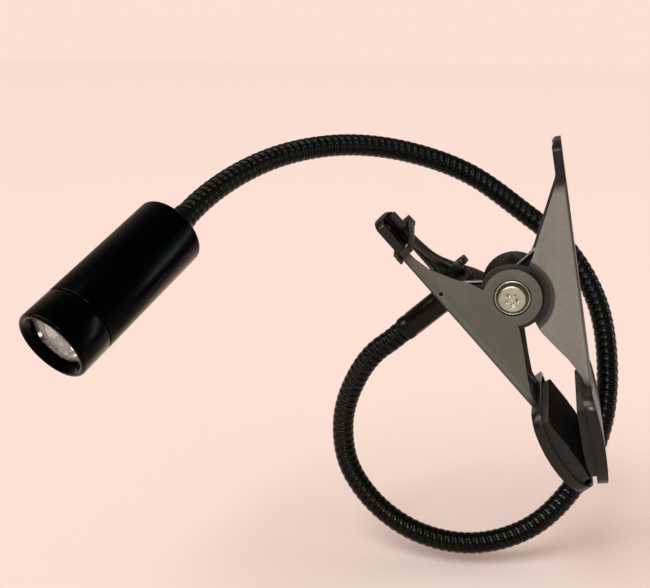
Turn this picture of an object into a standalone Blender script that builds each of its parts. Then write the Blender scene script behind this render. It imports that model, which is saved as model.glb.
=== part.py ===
"""Clip-on reading lamp: a spring clip of two pressed steel arms, a flexible gooseneck and an LED head.

Metres, +Z up. +X runs from the root jaw to the moving jaw, +Y along the clip's pivot, away from the
viewer. The origin is the middle of the grip line, where the two jaw pads meet.
"""

import math

import bmesh
import bpy
from mathutils import Matrix, Vector

# Clip: places
PIVOT = Vector((-0.027, 0.0, 0.054))     # middle of the pivot pin
ROOT_ARM_TILT = math.radians(47.1)       # slope of the root arm below the horizontal
MOVING_ARM_TILT = math.radians(78.7)     # slope of the moving arm
ROOT_WEB = 0.0197                        # pivot axis to the outer face of the root arm's web
MOVING_WEB = 0.0217

# Clip: pressed steel
SHEET = 0.0010
ARM_WIDTH = 0.0220
GAP = 0.0003                             # clearance between pieces that touch
RING_R = 0.0097                          # root arm's eye around the pivot
BOSS_R = 0.0112                          # moving arm's cheek around the pivot
EYE_R = 0.0062
DISH_FLOOR_R = 0.0113                    # recess in the moving arm that takes the eye
DISH_RIM_R = 0.0136
DISH_DEPTH = SHEET + GAP
WEB_END = 0.035                          # the web runs from -HANDLE to WEB_END along the arm
HANDLE = 0.0370
TONGUE_END = 0.0485
TONGUE_RIM = 0.0030
BASE_U = -0.0125                         # gooseneck seat along the root arm

# Jaws
JAW_WIDTH = 0.0440
JAW_START = 0.0335
JAW_END = 0.0668
JAW_FLANGE = 0.0034
JAW_SET = 0.00035                        # the jaw plate starts this far inside the web's face
PAD_WIDTH = 0.0410

# Pivot
PIN_R = 0.0028
HEAD_R = 0.00445
BUSH_R = 0.0050
FLANGE_R = 0.0059

# Gooseneck
NECK_R = 0.0040
FERRULE_LENGTH = 0.0200
SEGMENTS = 7
END_CHAMFER = 0.0016
TIP_SHARE = 0.12                         # radius left at a coned end

# Head
HEAD_RADIUS = 0.0120
HEAD_LENGTH = 0.0567
BEZEL_LENGTH = 0.0117
HEAD_REAR = PIVOT + Vector((-0.1085, -0.0373, 0.0226))
HEAD_AXIS = Vector((0.302, 0.848, 0.435)).normalized()   # from the lens to the rear
HEAD_FERRULE = 0.0090

for old in list(bpy.data.objects):
    bpy.data.objects.remove(old, do_unlink=True)

lamp = bpy.data.collections.new("clip_reading_lamp")
cutters = bpy.data.collections.new("cutters")
for group in (lamp, cutters):
    bpy.context.scene.collection.children.link(group)


# ---------------------------------------------------------------- materials

def make_material(name, colour, roughness, metallic=0.0):
    material = bpy.data.materials.new(name)
    material.use_nodes = True
    shader = material.node_tree.nodes["Principled BSDF"]
    shader.inputs["Base Color"].default_value = (*colour, 1.0)
    shader.inputs["Roughness"].default_value = roughness
    shader.inputs["Metallic"].default_value = metallic
    return material


PAINTED_STEEL = make_material("painted_steel", (0.06, 0.055, 0.045), 0.45, 0.3)
ZINC = make_material("zinc_plated_steel", (0.62, 0.62, 0.50), 0.30, 1.0)
SPRING_STEEL = make_material("spring_steel", (0.25, 0.25, 0.26), 0.35, 1.0)
FOAM = make_material("foam_rubber", (0.035, 0.033, 0.030), 0.95)
BLACK_STEEL = make_material("black_steel_tube", (0.012, 0.012, 0.013), 0.28, 0.8)
ANODISED = make_material("black_anodised_aluminium", (0.010, 0.010, 0.011), 0.25, 0.7)
ALUMINIUM = make_material("bare_aluminium", (0.70, 0.70, 0.72), 0.30, 1.0)
CLEAR = make_material("clear_lens", (0.95, 0.96, 0.97), 0.05)
MIRROR = make_material("metallised_reflector", (0.85, 0.86, 0.88), 0.10, 1.0)
PHOSPHOR = make_material("led_phosphor", (0.85, 0.75, 0.25), 0.40)
BOARD = make_material("circuit_board", (0.05, 0.22, 0.09), 0.45)
NYLON = make_material("black_nylon", (0.012, 0.012, 0.012), 0.40)
CABLE = make_material("cable_jacket", (0.010, 0.010, 0.010), 0.45)
RUBBER = make_material("black_rubber", (0.015, 0.015, 0.015), 0.80)


# ---------------------------------------------------------------- shape helpers

def add_object(name, mesh, material=None, group=lamp):
    thing = bpy.data.objects.new(name, mesh)
    group.objects.link(thing)
    if material:
        mesh.materials.clear()
        mesh.materials.append(material)
    if group is cutters:
        thing.hide_render = True
        thing.display_type = "WIRE"
    return thing


def to_mesh(curve_object):
    """Replace a curve object by a welded mesh object of the same name and collection."""
    bpy.context.view_layer.update()
    evaluated = curve_object.evaluated_get(bpy.context.evaluated_depsgraph_get())
    mesh = bpy.data.meshes.new_from_object(evaluated)
    body = bmesh.new()
    body.from_mesh(mesh)
    bmesh.ops.remove_doubles(body, verts=body.verts, dist=0.000001)
    bmesh.ops.recalc_face_normals(body, faces=body.faces)
    body.to_mesh(mesh)
    body.free()
    name = curve_object.name
    group = curve_object.users_collection[0]
    place = curve_object.matrix_world.copy()
    bpy.data.objects.remove(curve_object, do_unlink=True)
    thing = add_object(name, mesh, None, group)
    thing.matrix_world = place
    return thing


def arc(centre, radius, start, end, count):
    """Points on a circle in the plate's plane, from start to end in degrees."""
    points = []
    for step in range(count + 1):
        angle = math.radians(start + (end - start) * step / count)
        points.append((centre[0] + radius * math.cos(angle), centre[1] + radius * math.sin(angle)))
    return points


def rounded_box(x0, x1, y0, y1, radii, steps=4):
    """Outline of a rectangle with its corner radii given from the low corner, anticlockwise."""
    corners = [(x0, y0, 1, 1, 180), (x1, y0, -1, 1, 270), (x1, y1, -1, -1, 0), (x0, y1, 1, -1, 90)]
    points = []
    for (x, y, side_x, side_y, start), radius in zip(corners, radii):
        centre = (x + side_x * radius, y + side_y * radius)
        points += arc(centre, radius, start, start + 90, steps)
    return points


def plate(name, outline, low, high, plane="XZ", group=lamp, material=None):
    """A flat outline extruded along the plane's normal, from low to high."""
    curve = bpy.data.curves.new(name, "CURVE")
    curve.dimensions = "2D"
    curve.fill_mode = "BOTH"
    curve.extrude = (high - low) / 2
    spline = curve.splines.new("POLY")
    spline.points.add(len(outline) - 1)
    for point, (across, up) in zip(spline.points, outline):
        point.co = (across, up, 0.0, 1.0)
    spline.use_cyclic_u = True
    thing = bpy.data.objects.new(name, curve)
    group.objects.link(thing)
    thing = to_mesh(thing)
    middle = Matrix.Translation((0, 0, (low + high) / 2))
    if plane == "XZ":
        turn = Matrix(((1, 0, 0, 0), (0, 0, 1, 0), (0, 1, 0, 0), (0, 0, 0, 1)))
        thing.data.transform(turn @ middle)
        thing.data.flip_normals()
    else:
        thing.data.transform(middle)
    if material:
        thing.data.materials.append(material)
    if group is cutters:
        thing.hide_render = True
        thing.display_type = "WIRE"
    return thing


def cylinder(name, radius, low, high, sides=32, radius_high=None, group=lamp, material=None, axis="Z"):
    body = bmesh.new()
    top = radius if radius_high is None else radius_high
    place = Matrix.Translation((0, 0, (low + high) / 2))
    if axis == "Y":
        place = Matrix.Rotation(math.radians(-90), 4, "X") @ place
    bmesh.ops.create_cone(body, cap_ends=True, segments=sides, radius1=radius, radius2=top,
                          depth=high - low, matrix=place)
    mesh = bpy.data.meshes.new(name)
    body.to_mesh(mesh)
    body.free()
    return add_object(name, mesh, material, group)


def turned(name, profile, material, sides=40, axis="Z"):
    """A closed profile of (radius, height) points turned about the axis."""
    body = bmesh.new()
    loop = [body.verts.new((radius, 0.0, height)) for radius, height in profile]
    for first, second in zip(loop, loop[1:] + loop[:1]):
        if profile[loop.index(first)][0] > 0 or profile[loop.index(second)][0] > 0:
            body.edges.new((first, second))
    mesh = bpy.data.meshes.new(name)
    body.to_mesh(mesh)
    body.free()
    thing = add_object(name, mesh, material)
    screw = thing.modifiers.new("turn", "SCREW")
    screw.steps = sides
    screw.render_steps = sides
    screw.use_merge_vertices = True
    screw.merge_threshold = 0.000001
    screw.use_normal_calculate = True
    bake(thing)
    if axis == "Y":
        thing.data.transform(Matrix.Rotation(math.radians(-90), 4, "X"))
    return thing


def bake(thing):
    """Apply the object's modifiers and leave a closed mesh that faces outwards."""
    bpy.context.view_layer.update()
    evaluated = thing.evaluated_get(bpy.context.evaluated_depsgraph_get())
    mesh = bpy.data.meshes.new_from_object(evaluated)
    thing.modifiers.clear()
    old = thing.data
    body = bmesh.new()
    body.from_mesh(mesh)
    bmesh.ops.remove_doubles(body, verts=body.verts, dist=0.000001)
    bmesh.ops.recalc_face_normals(body, faces=body.faces)
    body.to_mesh(mesh)
    body.free()
    thing.data = mesh
    bpy.data.meshes.remove(old)
    return thing


def combine(thing, other, operation):
    boolean = thing.modifiers.new(other.name, "BOOLEAN")
    boolean.operation = operation
    boolean.solver = "EXACT"
    boolean.object = other
    bake(thing)
    bpy.data.objects.remove(other, do_unlink=True)
    return thing


def bevel_where(thing, width, segments, wanted):
    """Round the edges for which wanted(first, second) holds."""
    body = bmesh.new()
    body.from_mesh(thing.data)
    edges = [edge for edge in body.edges if wanted(edge.verts[0].co, edge.verts[1].co)]
    bmesh.ops.bevel(body, geom=edges, offset=width, segments=segments, affect="EDGES",
                    profile=0.5, material=-1)
    body.to_mesh(thing.data)
    body.free()
    return thing


def tube(name, points, radius, material, radii=None, resolution=2):
    """A round bar along the points, its radius scaled by radii at each of them."""
    curve = bpy.data.curves.new(name, "CURVE")
    curve.dimensions = "3D"
    curve.bevel_depth = radius
    curve.bevel_resolution = resolution
    curve.use_fill_caps = True
    spline = curve.splines.new("POLY")
    spline.points.add(len(points) - 1)
    for index, point in enumerate(points):
        spline.points[index].co = (*point, 1.0)
        spline.points[index].radius = radii[index] if radii else 1.0
    thing = bpy.data.objects.new(name, curve)
    lamp.objects.link(thing)
    thing = to_mesh(thing)
    thing.data.materials.append(material)
    return thing


def smooth_path(knots, count):
    """Points along a smooth curve through the knots, evenly spaced along its length."""
    ends = [2 * knots[0] - knots[1]] + list(knots) + [2 * knots[-1] - knots[-2]]
    fine = []
    for index in range(1, len(ends) - 2):
        a, b, c, d = ends[index - 1:index + 3]
        for step in range(40):
            t = step / 40
            fine.append(0.5 * (2 * b + (c - a) * t + (2 * a - 5 * b + 4 * c - d) * t ** 2
                               + (3 * b - a - 3 * c + d) * t ** 3))
    fine.append(Vector(knots[-1]))
    lengths = [0.0]
    for first, second in zip(fine, fine[1:]):
        lengths.append(lengths[-1] + (second - first).length)
    points = []
    index = 0
    for step in range(count + 1):
        target = lengths[-1] * step / count
        while index < len(fine) - 2 and lengths[index + 1] < target:
            index += 1
        share = (target - lengths[index]) / (lengths[index + 1] - lengths[index])
        points.append(fine[index].lerp(fine[index + 1], min(share, 1.0)))
    return points, lengths[-1]


def arm_frame(name, tilt, mirrored):
    """An empty on the pivot: X along the arm to the jaw, Z from its web to the pivot."""
    along = Vector((math.cos(tilt), 0.0, -math.sin(tilt)))
    inward = Vector((math.sin(tilt), 0.0, math.cos(tilt)))
    side = Vector((0.0, 1.0, 0.0))
    if mirrored:
        inward = -inward
        side = -side
    frame = bpy.data.objects.new(name, None)
    lamp.objects.link(frame)
    frame.matrix_world = Matrix.Translation(PIVOT) @ Matrix((along, side, inward)).transposed().to_4x4()
    bpy.context.view_layer.update()
    return frame


def hang(thing, frame):
    """Parent a piece modelled in the frame's own axes."""
    thing.parent = frame
    thing.matrix_parent_inverse = Matrix.Identity(4)
    return thing


# ---------------------------------------------------------------- clip arms

def cheek_outline(web, ring):
    """Side view of an arm, in its own axes: the web along the bottom, the cheeks rising to the pivot."""
    floor = -web
    outline = [(-TONGUE_END, floor), (WEB_END + 0.0015, floor), (WEB_END + 0.0015, floor + 0.0016),
               (0.0297, floor + 0.0030), (0.0232, floor + 0.0066)]
    if ring:
        outline += [(0.0165, floor + 0.0107)]
        outline += arc((0.0, 0.0), RING_R, -28, 215, 22)
        outline += [(-0.0125, floor + 0.0120), (-0.0176, floor + 0.0086), (-0.0249, floor + 0.0047),
                    (-0.0305, floor + 0.0034)]
    else:
        outline += [(0.0191, floor + 0.0096), (0.0131, floor + 0.0138)]
        outline += arc((0.0, 0.0), BOSS_R, -33, 214, 22)
        outline += [(-0.0124, floor + 0.0136), (-0.0205, floor + 0.0100), (-0.0253, floor + 0.0078),
                    (-0.0300, floor + 0.0056), (-0.0345, floor + 0.0036)]
    outline += [(-HANDLE, floor + TONGUE_RIM),
                (-TONGUE_END + 0.0015, floor + TONGUE_RIM), (-TONGUE_END, floor + TONGUE_RIM - 0.0012)]
    return outline


def jaw_line(web, bow, end_drop, offset, shorten=0.0):
    """The jaw plate's side line from root to tip, bowed outwards, at a height above its outer face."""
    start, stop = JAW_START, JAW_END - shorten
    line = []
    for step in range(9):
        share = step / 8
        u = start + (stop - start) * share
        sag = bow * 4 * share * (1 - share) + end_drop * share
        line.append((u, -web - sag + JAW_SET + offset))
    return line


def jaw_tray(name, web, bow, end_drop):
    """The wide jaw plate with its turned-up edge, open towards the pad."""
    outer = jaw_line(web, bow, end_drop, 0.0) + jaw_line(web, bow, end_drop, JAW_FLANGE)[::-1]
    block = plate(name, outer, -JAW_WIDTH / 2, JAW_WIDTH / 2)
    plan = rounded_box(JAW_START - 0.0002, JAW_END + 0.0002, -JAW_WIDTH / 2 - 0.0001, JAW_WIDTH / 2 + 0.0001,
                       (0.006, 0.010, 0.010, 0.006), 5)
    combine(block, plate("plan", plan, -web - 0.012, -web + 0.012, "XY", cutters), "INTERSECT")
    inner = jaw_line(web, bow, end_drop, SHEET) + jaw_line(web, bow, end_drop, JAW_FLANGE + 0.004)[::-1]
    hollow = plate("hollow", inner, -JAW_WIDTH / 2, JAW_WIDTH / 2, group=cutters)
    plan = rounded_box(JAW_START + SHEET, JAW_END - SHEET, -JAW_WIDTH / 2 + SHEET,
                       JAW_WIDTH / 2 - SHEET, (0.005, 0.009, 0.009, 0.005), 5)
    combine(hollow, plate("plan", plan, -web - 0.012, -web + 0.012, "XY", cutters), "INTERSECT")
    return combine(block, hollow, "DIFFERENCE")


def dish_cone(side, face, depth, mouth, floor_radius, overrun=0.001):
    """A cutter for a round recess in a cheek, from its face towards the middle of the arm."""
    slope = (mouth - floor_radius) / depth
    cone = cylinder("dish", mouth + slope * overrun, -overrun, depth, 48, floor_radius, cutters)
    turn = Matrix.Rotation(math.radians(90 * side), 4, "X")
    cone.data.transform(Matrix.Translation((0.0, side * face, 0.0)) @ turn)
    return cone


def pressed_arm(name, web, ring, bow, end_drop, dished):
    floor = -web
    half = ARM_WIDTH / 2
    arm = plate(name, cheek_outline(web, ring), -half, half)
    bevel_where(arm, 0.0016, 3, lambda a, b: abs(a.z - floor) < 1e-5 and abs(b.z - floor) < 1e-5
                and abs(abs(a.y) - half) < 1e-5 and a.y * b.y > 0 and abs(a.x - b.x) > 0.01)
    channel = rounded_box(-half + SHEET, half - SHEET, floor + SHEET, 0.03, (0.0008,) * 4, 2)
    inside = plate("inside", channel, -0.0600, 0.0600, group=cutters)
    inside.data.transform(Matrix.Rotation(math.radians(90), 4, "Z"))
    tongue = rounded_box(-TONGUE_END, 0.06, -half - 0.002, half + 0.002, (0.008, 0.001, 0.001, 0.008), 5)
    combine(arm, plate("tongue", tongue, -0.05, 0.05, "XY", cutters), "INTERSECT")
    plan = rounded_box(-TONGUE_END + SHEET, 0.07, -half - 0.001, half + 0.001,
                       (0.007, 0.001, 0.001, 0.007), 5)
    combine(inside, plate("inner_tongue", plan, -0.05, 0.05, "XY", cutters), "INTERSECT")
    if dished:
        for side in (-1, 1):
            combine(inside, dish_cone(side, half - SHEET + 0.0002, DISH_DEPTH + 0.0002,
                                      DISH_RIM_R + 0.0006, DISH_FLOOR_R + 0.0006), "DIFFERENCE")
            combine(arm, dish_cone(side, half, DISH_DEPTH, DISH_RIM_R, DISH_FLOOR_R), "DIFFERENCE")
    combine(arm, inside, "DIFFERENCE")
    combine(arm, jaw_tray("jaw", web, bow, end_drop), "UNION")
    root = plate("root", [(JAW_START + SHEET, floor + SHEET), (WEB_END + 0.003, floor + SHEET),
                          (WEB_END + 0.003, floor + 0.006), (JAW_START + SHEET, floor + 0.006)],
                 -half + SHEET, half - SHEET, group=cutters)
    combine(arm, root, "DIFFERENCE")
    window = rounded_box(-0.0350, -0.0210, -0.0085, 0.0085, (0.002,) * 4, 3)
    combine(arm, plate("window", window, floor - 0.001, floor + 0.002, "XY", cutters), "DIFFERENCE")
    eyelet = cylinder("hanging_hole", 0.0016, floor - 0.001, floor + 0.002, 16, group=cutters)
    eyelet.data.transform(Matrix.Translation((-0.0440, 0.0, 0.0)))
    combine(arm, eyelet, "DIFFERENCE")
    return arm


def make_root_arm(frame):
    arm = pressed_arm("root_arm", ROOT_WEB, True, 0.0030, 0.0042, False)
    combine(arm, cylinder("eye", EYE_R, -0.02, 0.02, 40, group=cutters, axis="Y"), "DIFFERENCE")
    seat = cylinder("seat", 0.0034, -ROOT_WEB - 0.001, -ROOT_WEB + 0.002, 24, group=cutters)
    seat.data.transform(Matrix.Translation((BASE_U, 0.0, 0.0)))
    combine(arm, seat, "DIFFERENCE")
    locating = cylinder("locating", 0.0007, -0.012, -0.009, 12, group=cutters, axis="Y")
    locating.data.transform(Matrix.Translation((-0.0158, 0.0, -ROOT_WEB + 0.0023)))
    combine(arm, locating, "DIFFERENCE")
    slot = rounded_box(-0.0192, -0.0160, 0.0055, 0.0071, (0.0005,) * 4, 2)
    combine(arm, plate("tie_slot", slot, -ROOT_WEB - 0.001, -ROOT_WEB + 0.002, "XY", cutters),
            "DIFFERENCE")
    arm.data.materials.append(PAINTED_STEEL)
    return hang(arm, frame)


def make_moving_arm(frame):
    arm = pressed_arm("moving_arm", MOVING_WEB, False, 0.0012, 0.0012, True)
    combine(arm, cylinder("eye", BUSH_R + GAP, -0.02, 0.02, 40, group=cutters, axis="Y"), "DIFFERENCE")
    arm.data.materials.append(PAINTED_STEEL)
    return hang(arm, frame)


def make_pad(name, web, bow, end_drop, face_root, face_grip, face_tip, frame):
    """Foam block bonded in the jaw plate: its face is crowned, and relieved past the grip line."""
    inset = SHEET + GAP
    back = [(u, v) for u, v in jaw_line(web, bow, end_drop, inset) if JAW_START + 0.003 < u < JAW_END - 0.0022]
    bend, grip = 0.0480, 0.0575
    middle = (face_root + face_grip) / 2 + 0.0002
    face = [(JAW_END - 0.0030, -web + face_tip), (grip, -web + face_grip), (bend, -web + middle),
            (JAW_START + 0.0045, -web + face_root)]
    pad = plate(name, back + face, -PAD_WIDTH / 2, PAD_WIDTH / 2)
    plan = rounded_box(JAW_START + 0.0043, JAW_END - 0.0024, -PAD_WIDTH / 2, PAD_WIDTH / 2,
                       (0.002, 0.008, 0.008, 0.002), 5)
    combine(pad, plate("plan", plan, -web - 0.012, -web + 0.012, "XY", cutters), "INTERSECT")
    pad.data.materials.append(FOAM)
    return hang(pad, frame)


# ---------------------------------------------------------------- pivot

def make_pin():
    tip, shoulder = 0.0124, 0.0111
    half = [(HEAD_R, shoulder), (HEAD_R, tip - 0.0006), (HEAD_R - 0.0006, tip), (0.0022, tip),
            (0.0012, tip - 0.0009), (0.0, tip - 0.0011)]
    profile = [(radius, -height) for radius, height in reversed(half)]
    profile += [(PIN_R, -shoulder), (PIN_R, shoulder)] + half
    pin = turned("pivot_pin", profile, ZINC, 32, "Y")
    pin.location = PIVOT
    return pin


def make_bush(name, side):
    bore = PIN_R + GAP
    inner, step, outer = 0.0082, ARM_WIDTH / 2 - SHEET - GAP / 2, 0.01078
    profile = [(bore, inner), (BUSH_R, inner), (BUSH_R, step), (FLANGE_R, step), (FLANGE_R, outer - 0.0003),
               (FLANGE_R - 0.0004, outer), (bore, outer)]
    if side < 0:
        profile = [(radius, -height) for radius, height in reversed(profile)]
    bush = turned(name, profile, ZINC, 36, "Y")
    bush.location = PIVOT
    return bush


def make_spring(root_frame, moving_frame):
    """Torsion spring round the pin; its legs push the two handles apart."""
    wire, coil, turns = 0.0008, 0.0046, 5.25
    half = 0.0058
    root_foot = root_frame.matrix_world @ Vector((-0.0190, -half, -ROOT_WEB + SHEET + wire + GAP))
    moving_foot = moving_frame.matrix_world @ Vector((-0.0190, -half, -MOVING_WEB + SHEET + wire + GAP))
    start = math.atan2(root_foot.z - PIVOT.z, root_foot.x - PIVOT.x) - math.radians(75)
    end = math.atan2(moving_foot.z - PIVOT.z, moving_foot.x - PIVOT.x) + math.radians(75)
    sweep = end - start
    while sweep > -turns * 2 * math.pi:
        sweep -= 2 * math.pi
    count = 72
    points = [root_foot]
    for step in range(count + 1):
        share = step / count
        angle = start + sweep * share
        depth = -half + 2 * half * share
        points.append(PIVOT + Vector((coil * math.cos(angle), depth, coil * math.sin(angle))))
    points.append(moving_foot)
    return tube("torsion_spring", points, wire, SPRING_STEEL)


# ---------------------------------------------------------------- gooseneck

def neck_knots(base, outward):
    """Hand-set route of the neck's centre line, from the clip to the rear of the head."""
    tail = HEAD_REAR + HEAD_AXIS * HEAD_FERRULE
    middle = [(-0.0462, 0.0, -0.0255), (-0.0560, 0.0020, -0.0410), (-0.0602, 0.0040, -0.0580),
              (-0.0575, 0.0045, -0.0760), (-0.0470, 0.0030, -0.0895), (-0.0300, 0.0010, -0.0985),
              (-0.0090, 0.0035, -0.1015), (0.0110, 0.0095, -0.0955), (0.0265, 0.0190, -0.0805),
              (0.0350, 0.0290, -0.0600), (0.0357, 0.0370, -0.0380), (0.0300, 0.0445, -0.0145),
              (0.0170, 0.0490, 0.0045), (-0.0010, 0.0500, 0.0185), (-0.0210, 0.0480, 0.0318),
              (-0.0430, 0.0405, 0.0402), (-0.0640, 0.0270, 0.0440), (-0.0820, 0.0105, 0.0425)]
    start = [base + outward * FERRULE_LENGTH, base + outward * (FERRULE_LENGTH + 0.006)]
    route = [PIVOT + Vector(point) for point in middle]
    return start + route + [tail + HEAD_AXIS * 0.008, tail]


def make_neck(base, outward):
    steps_each = 12
    path, length = smooth_path(neck_knots(base, outward), SEGMENTS * steps_each)
    for index in range(SEGMENTS):
        run = path[index * steps_each:(index + 1) * steps_each + 1]
        first = run[0].lerp(run[1], (GAP / 2) / (run[1] - run[0]).length)
        last = run[-1].lerp(run[-2], (GAP / 2) / (run[-1] - run[-2]).length)
        after = run[0].lerp(run[1], END_CHAMFER / (run[1] - run[0]).length)
        before = run[-1].lerp(run[-2], END_CHAMFER / (run[-1] - run[-2]).length)
        points = [first, after] + run[1:-1] + [before, last]
        radii = [1.0] * len(points)
        if index > 0:
            radii[0] = TIP_SHARE
        if index < SEGMENTS - 1:
            radii[-1] = TIP_SHARE
        tube(f"neck_{index + 1}", points, NECK_R, BLACK_STEEL, radii, 2)
    return path, length


def point_along(thing, place, direction):
    """Put a piece built about Z at a place, its Z turned to the direction."""
    thing.matrix_world = Matrix.Translation(place) @ Vector(direction).to_track_quat("Z", "Y").to_matrix().to_4x4()
    return thing


def make_base(base, outward):
    bore = 0.0030
    ferrule = turned("base_ferrule", [
        (0.0, FERRULE_LENGTH - GAP), (NECK_R + 0.0001, FERRULE_LENGTH - GAP),
        (NECK_R + 0.0003, FERRULE_LENGTH - 0.0010), (NECK_R + 0.0004, 0.0035), (0.0047, 0.0012), (0.0047, GAP),
        (bore, GAP), (bore, -0.0068), (0.0019, -0.0068), (0.0019, 0.0040), (0.0, 0.0045)], BLACK_STEEL, 32)
    point_along(ferrule, base, outward)
    washer = turned("lock_washer", [(bore + GAP, -SHEET - GAP), (0.0052, -SHEET - GAP),
                                    (0.0052, -SHEET - GAP - 0.0008), (bore + GAP, -SHEET - GAP - 0.0008)],
                    ZINC, 28)
    point_along(washer, base, outward)
    top = -SHEET - 2 * GAP - 0.0008
    nut = cylinder("base_nut", 0.0055, top - 0.0028, top, 6, material=ZINC)
    combine(nut, cylinder("thread", bore + GAP, top - 0.004, top + 0.001, 24, group=cutters), "DIFFERENCE")
    point_along(nut, base, outward)


# ---------------------------------------------------------------- head

def make_head():
    """All pieces are turned about Z with z = 0 on the head's rear face, the lens towards -Z."""
    front = -HEAD_LENGTH
    joint = front + BEZEL_LENGTH
    wall = 0.0014
    r = HEAD_RADIUS
    spigot, lip = r - wall, 0.0091
    lens_z = front + 0.0026
    lens_back = lens_z + 0.0018
    pieces = []
    pieces.append(turned("head_housing", [
        (0.0034, 0.0), (r - 0.0010, 0.0), (r, -0.0010), (r, joint + 0.0006), (spigot, joint + 0.0006),
        (spigot, joint - 0.0045), (spigot - 0.0010, joint - 0.0045), (spigot - 0.0010, joint + 0.0060),
        (spigot, joint + 0.0066), (spigot, -0.0024), (0.0034, -0.0024)], ANODISED, 56))
    pieces.append(turned("bezel_ring", [
        (r, joint), (r, front + 0.0006), (r - 0.0006, front), (r - 0.0010, front), (lip, lens_z - GAP - 0.0006),
        (lip, lens_z - GAP), (spigot - 0.0001, lens_z - GAP), (spigot - 0.0001, joint - 0.0050),
        (spigot + GAP, joint - 0.0048), (spigot + GAP, joint)], ANODISED, 56))
    pieces.append(turned("lens", [
        (0.0, lens_z), (0.0050, lens_z + 0.0003), (0.0098, lens_z + 0.0008), (0.0098, lens_back),
        (0.0, lens_back)], CLEAR, 40))
    cup = lens_back + GAP
    pieces.append(turned("reflector", [
        (0.0089, cup), (0.0074, cup + 0.0040), (0.0046, cup + 0.0082), (0.0024, cup + 0.0098),
        (0.0032, cup + 0.0104), (0.0056, cup + 0.0092), (0.0084, cup + 0.0046), (0.0094, cup + 0.0010),
        (0.0094, cup)], MIRROR, 36))
    board = cup + 0.0104 + GAP
    pieces.append(turned("led_board", [
        (0.0, board), (0.0088, board), (0.0088, board + 0.0014), (0.0, board + 0.0014)], ALUMINIUM, 32))
    pieces.append(turned("led_emitter", [
        (0.0, board - 0.0036), (0.0010, board - 0.0033), (0.0016, board - 0.0024), (0.0018, board - GAP),
        (0.0, board - GAP)], PHOSPHOR, 20))
    slug = board + 0.0014 + GAP
    pieces.append(turned("heat_sink", [
        (0.0012, slug), (0.0092, slug), (0.0092, slug + 0.0078), (0.0060, slug + 0.0078),
        (0.0060, slug + 0.0030), (0.0012, slug + 0.0030)], ALUMINIUM, 40))
    pieces.append(turned("bezel_seal", [
        (0.0097, lens_back + 0.0002), (0.0103, lens_back + 0.0002), (0.0103, lens_back + 0.0010),
        (0.0097, lens_back + 0.0010)], RUBBER, 32))
    driver = plate("driver_board", rounded_box(-0.0065, 0.0065, slug + 0.0085, slug + 0.0225,
                                               (0.0008,) * 4, 2), -0.0006, 0.0006, material=BOARD)
    pieces.append(driver)
    choke = cylinder("driver_choke", 0.0026, 0.0009, 0.0049, 20, material=RUBBER, axis="Y")
    choke.data.transform(Matrix.Translation((0.0, 0.0, slug + 0.0150)))
    pieces.append(choke)
    pieces.append(turned("head_ferrule", [
        (0.0, HEAD_FERRULE - GAP), (NECK_R + 0.0001, HEAD_FERRULE - GAP), (NECK_R + 0.0003, HEAD_FERRULE - 0.0010),
        (NECK_R + 0.0003, GAP), (0.0031, GAP), (0.0031, -0.0062), (0.0019, -0.0062), (0.0019, 0.0030),
        (0.0, 0.0034)], BLACK_STEEL, 32))
    nut = cylinder("head_nut", 0.0055, -0.0024 - GAP - 0.0026, -0.0024 - GAP, 6, material=ZINC)
    combine(nut, cylinder("thread", 0.0031 + GAP, -0.008, 0.001, 24, group=cutters), "DIFFERENCE")
    pieces.append(nut)
    for piece in pieces:
        point_along(piece, HEAD_REAR, HEAD_AXIS)


# ---------------------------------------------------------------- lead and its ties

def strap(name, radius, half_wide, half_tall, width, thickness, block, tail):
    """A closed cable tie in its own XZ plane: the loop, the lock block and the cut tail."""
    wide, tall = half_wide + thickness, half_tall + thickness
    outer = rounded_box(-wide, wide, -tall, tall, (radius + thickness,) * 4, 4)
    inner = rounded_box(-half_wide, half_wide, -half_tall, half_tall, (radius,) * 4, 4)
    loop = plate(name, outer, -width / 2, width / 2)
    combine(loop, plate("hole", inner, -width, width, group=cutters), "DIFFERENCE")
    for low_x, high_x, low_z, high_z, wide in (block, tail):
        box = plate("box", [(low_x, low_z), (high_x, low_z), (high_x, high_z), (low_x, high_z)],
                    -wide / 2, wide / 2, group=cutters)
        combine(loop, box, "UNION")
    loop.data.materials.append(NYLON)
    return loop


def make_lead(frame):
    floor = -ROOT_WEB
    knots = [(BASE_U, 0.0, floor + 0.0078), (-0.0130, 0.0040, floor + 0.0100),
             (-0.0146, 0.0078, floor + 0.0090), (-0.0180, 0.0083, floor + 0.0070),
             (-0.0250, 0.0078, floor + 0.0042), (-0.0300, 0.0074, floor + 0.0033),
             (-0.0360, 0.0062, floor + 0.0030), (-0.0398, 0.0056, floor + 0.0030)]
    path, length = smooth_path([Vector(knot) for knot in knots], 24)
    lead = tube("lead_cable", path, 0.0015, CABLE)
    hang(lead, frame)
    socket = turned("dc_socket", [
        (0.0, 0.0), (0.0016, 0.0), (0.0018, 0.0007), (0.0018, 0.0064), (0.0011, 0.0064), (0.0011, 0.0030),
        (0.0, 0.0030)], RUBBER, 24)
    socket.data.transform(Matrix.Translation((-0.0401, 0.0055, floor + 0.0032))
                          @ Vector((-1.0, -0.12, 0.0)).to_track_quat("Z", "Y").to_matrix().to_4x4())
    hang(socket, frame)
    return length


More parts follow.
